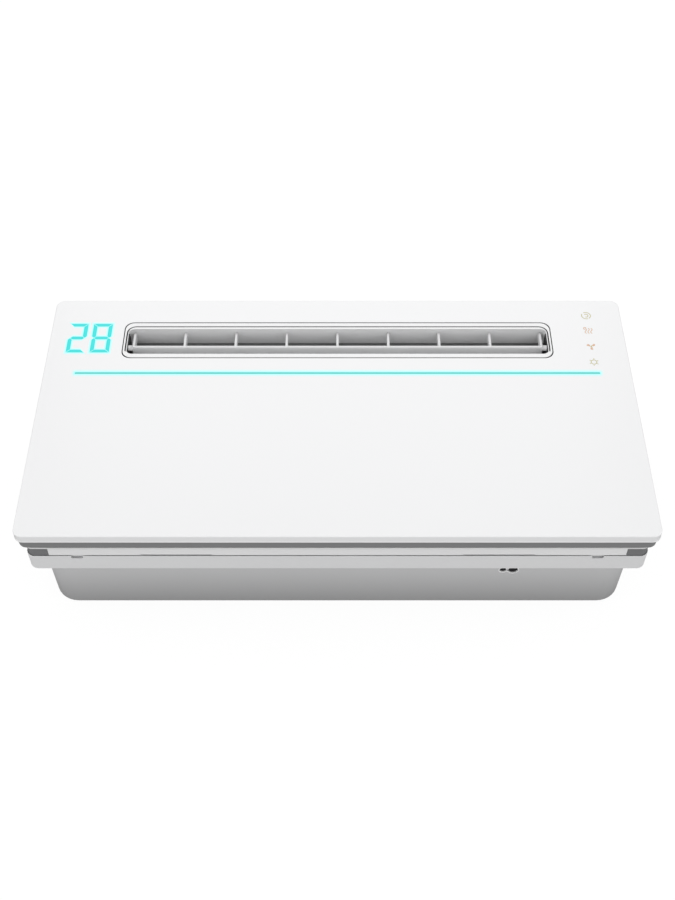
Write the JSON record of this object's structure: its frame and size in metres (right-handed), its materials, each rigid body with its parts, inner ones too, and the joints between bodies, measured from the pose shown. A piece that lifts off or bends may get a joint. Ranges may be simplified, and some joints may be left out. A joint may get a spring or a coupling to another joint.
{
  "type": "split air conditioner indoor unit",
  "caption": "Flat indoor unit of a parking air conditioner: glossy face with an air outlet and ribbed louvre, dark shadow gap, flanged rear tub with pipe ports, slide-out filter.",
  "frame": {"origin": "middle of the flat back face, the face turned up", "axes": "+X to the right along the length, +Y towards the outlet edge, +Z out of the front face"},
  "size_m": [0.64, 0.328, 0.144],
  "materials": {
    "face_white": "smooth satin-gloss white moulding",
    "casing_white": "fine satin off-white moulding",
    "louvre_white": "satin off-white moulding",
    "carrier_grey": "matte mid grey",
    "dark_plastic": "matte black",
    "filter_net": "woven nylon net",
    "light_cyan": "translucent light guide, lit",
    "circuit_green": "solder mask",
    "duct_grey": "matte grey",
    "fin_aluminium": "thin bright fins",
    "pipe_copper": "drawn copper",
    "zinc_steel": "zinc-plated sheet and turned steel",
    "rubber_black": "matte moulded rubber and foam"
  },
  "bodies": {
    "housing": {"case_screw_1": "zinc_steel", "case_screw_2": "zinc_steel", "case_screw_3": "zinc_steel", "case_screw_4": "zinc_steel", "coil_plate_left": "zinc_steel", "coil_plate_right": "zinc_steel", "coil_seal": "rubber_black", "coil_tube": "pipe_copper", "control_board": "circuit_green", "control_box": "dark_plastic", "control_cover": "dark_plastic", "display_module": "dark_plastic", "drain_pan": "dark_plastic", "drain_spigot": "casing_white", "duct_end_left": "duct_grey", "duct_end_right": "duct_grey", "evaporator_fins": "fin_aluminium", "fan_bearing": "rubber_black", "fan_motor": "zinc_steel", "fan_scroll": "duct_grey", "front_panel": "face_white", "harness_grommet": "rubber_black", "intake_grille_left": "dark_plastic", "intake_grille_right": "dark_plastic", "light_board": "circuit_green", "light_guide": "light_cyan", "liquid_pipe": "pipe_copper", "liquid_port_plug": "rubber_black", "louvre_bush_left": "rubber_black", "louvre_bush_right": "rubber_black", "mid_frame": "casing_white", "motor_bracket": "zinc_steel", "mounting_plate": "zinc_steel", "outlet_bezel": "casing_white", "panel_carrier": "carrier_grey", "panel_standoff_1": "carrier_grey", "panel_standoff_2": "carrier_grey", "panel_standoff_3": "carrier_grey", "panel_standoff_4": "carrier_grey", "panel_standoff_5": "carrier_grey", "panel_standoff_6": "carrier_grey", "plate_screw_1": "zinc_steel", "plate_screw_2": "zinc_steel", "plate_screw_3": "zinc_steel", "plate_screw_4": "zinc_steel", "rear_casing": "casing_white", "stabiliser": "duct_grey", "stepper_motor": "zinc_steel", "suction_pipe": "pipe_copper", "suction_port_plug": "rubber_black", "temp_sensor": "dark_plastic", "touch_board": "circuit_green"},
    "louvre": {"swing_louvre_left": "louvre_white", "swing_louvre_right": "louvre_white"},
    "fan": {"fan_wheel": "duct_grey", "fan_axle": "zinc_steel", "motor_shaft": "zinc_steel"},
    "filter_drawer": {"filter_tray": "casing_white", "filter_mesh": "filter_net"}
  },
  "joints": [
    {"name": "louvre_swing", "type": "hinge", "parent": "housing", "child": "louvre", "pos_m": [0, 0.096, 0.1365], "axis": [1, 0, 0], "range_deg": [-30, 14]},
    {"name": "fan_spin", "type": "hinge", "parent": "housing", "child": "fan", "pos_m": [0, 0.084, 0.055], "axis": [1, 0, 0], "continuous": true},
    {"name": "filter_slide", "type": "slide", "parent": "housing", "child": "filter_drawer", "axis": [0, -1, 0], "range_m": [0, 0.2]}
  ]
}
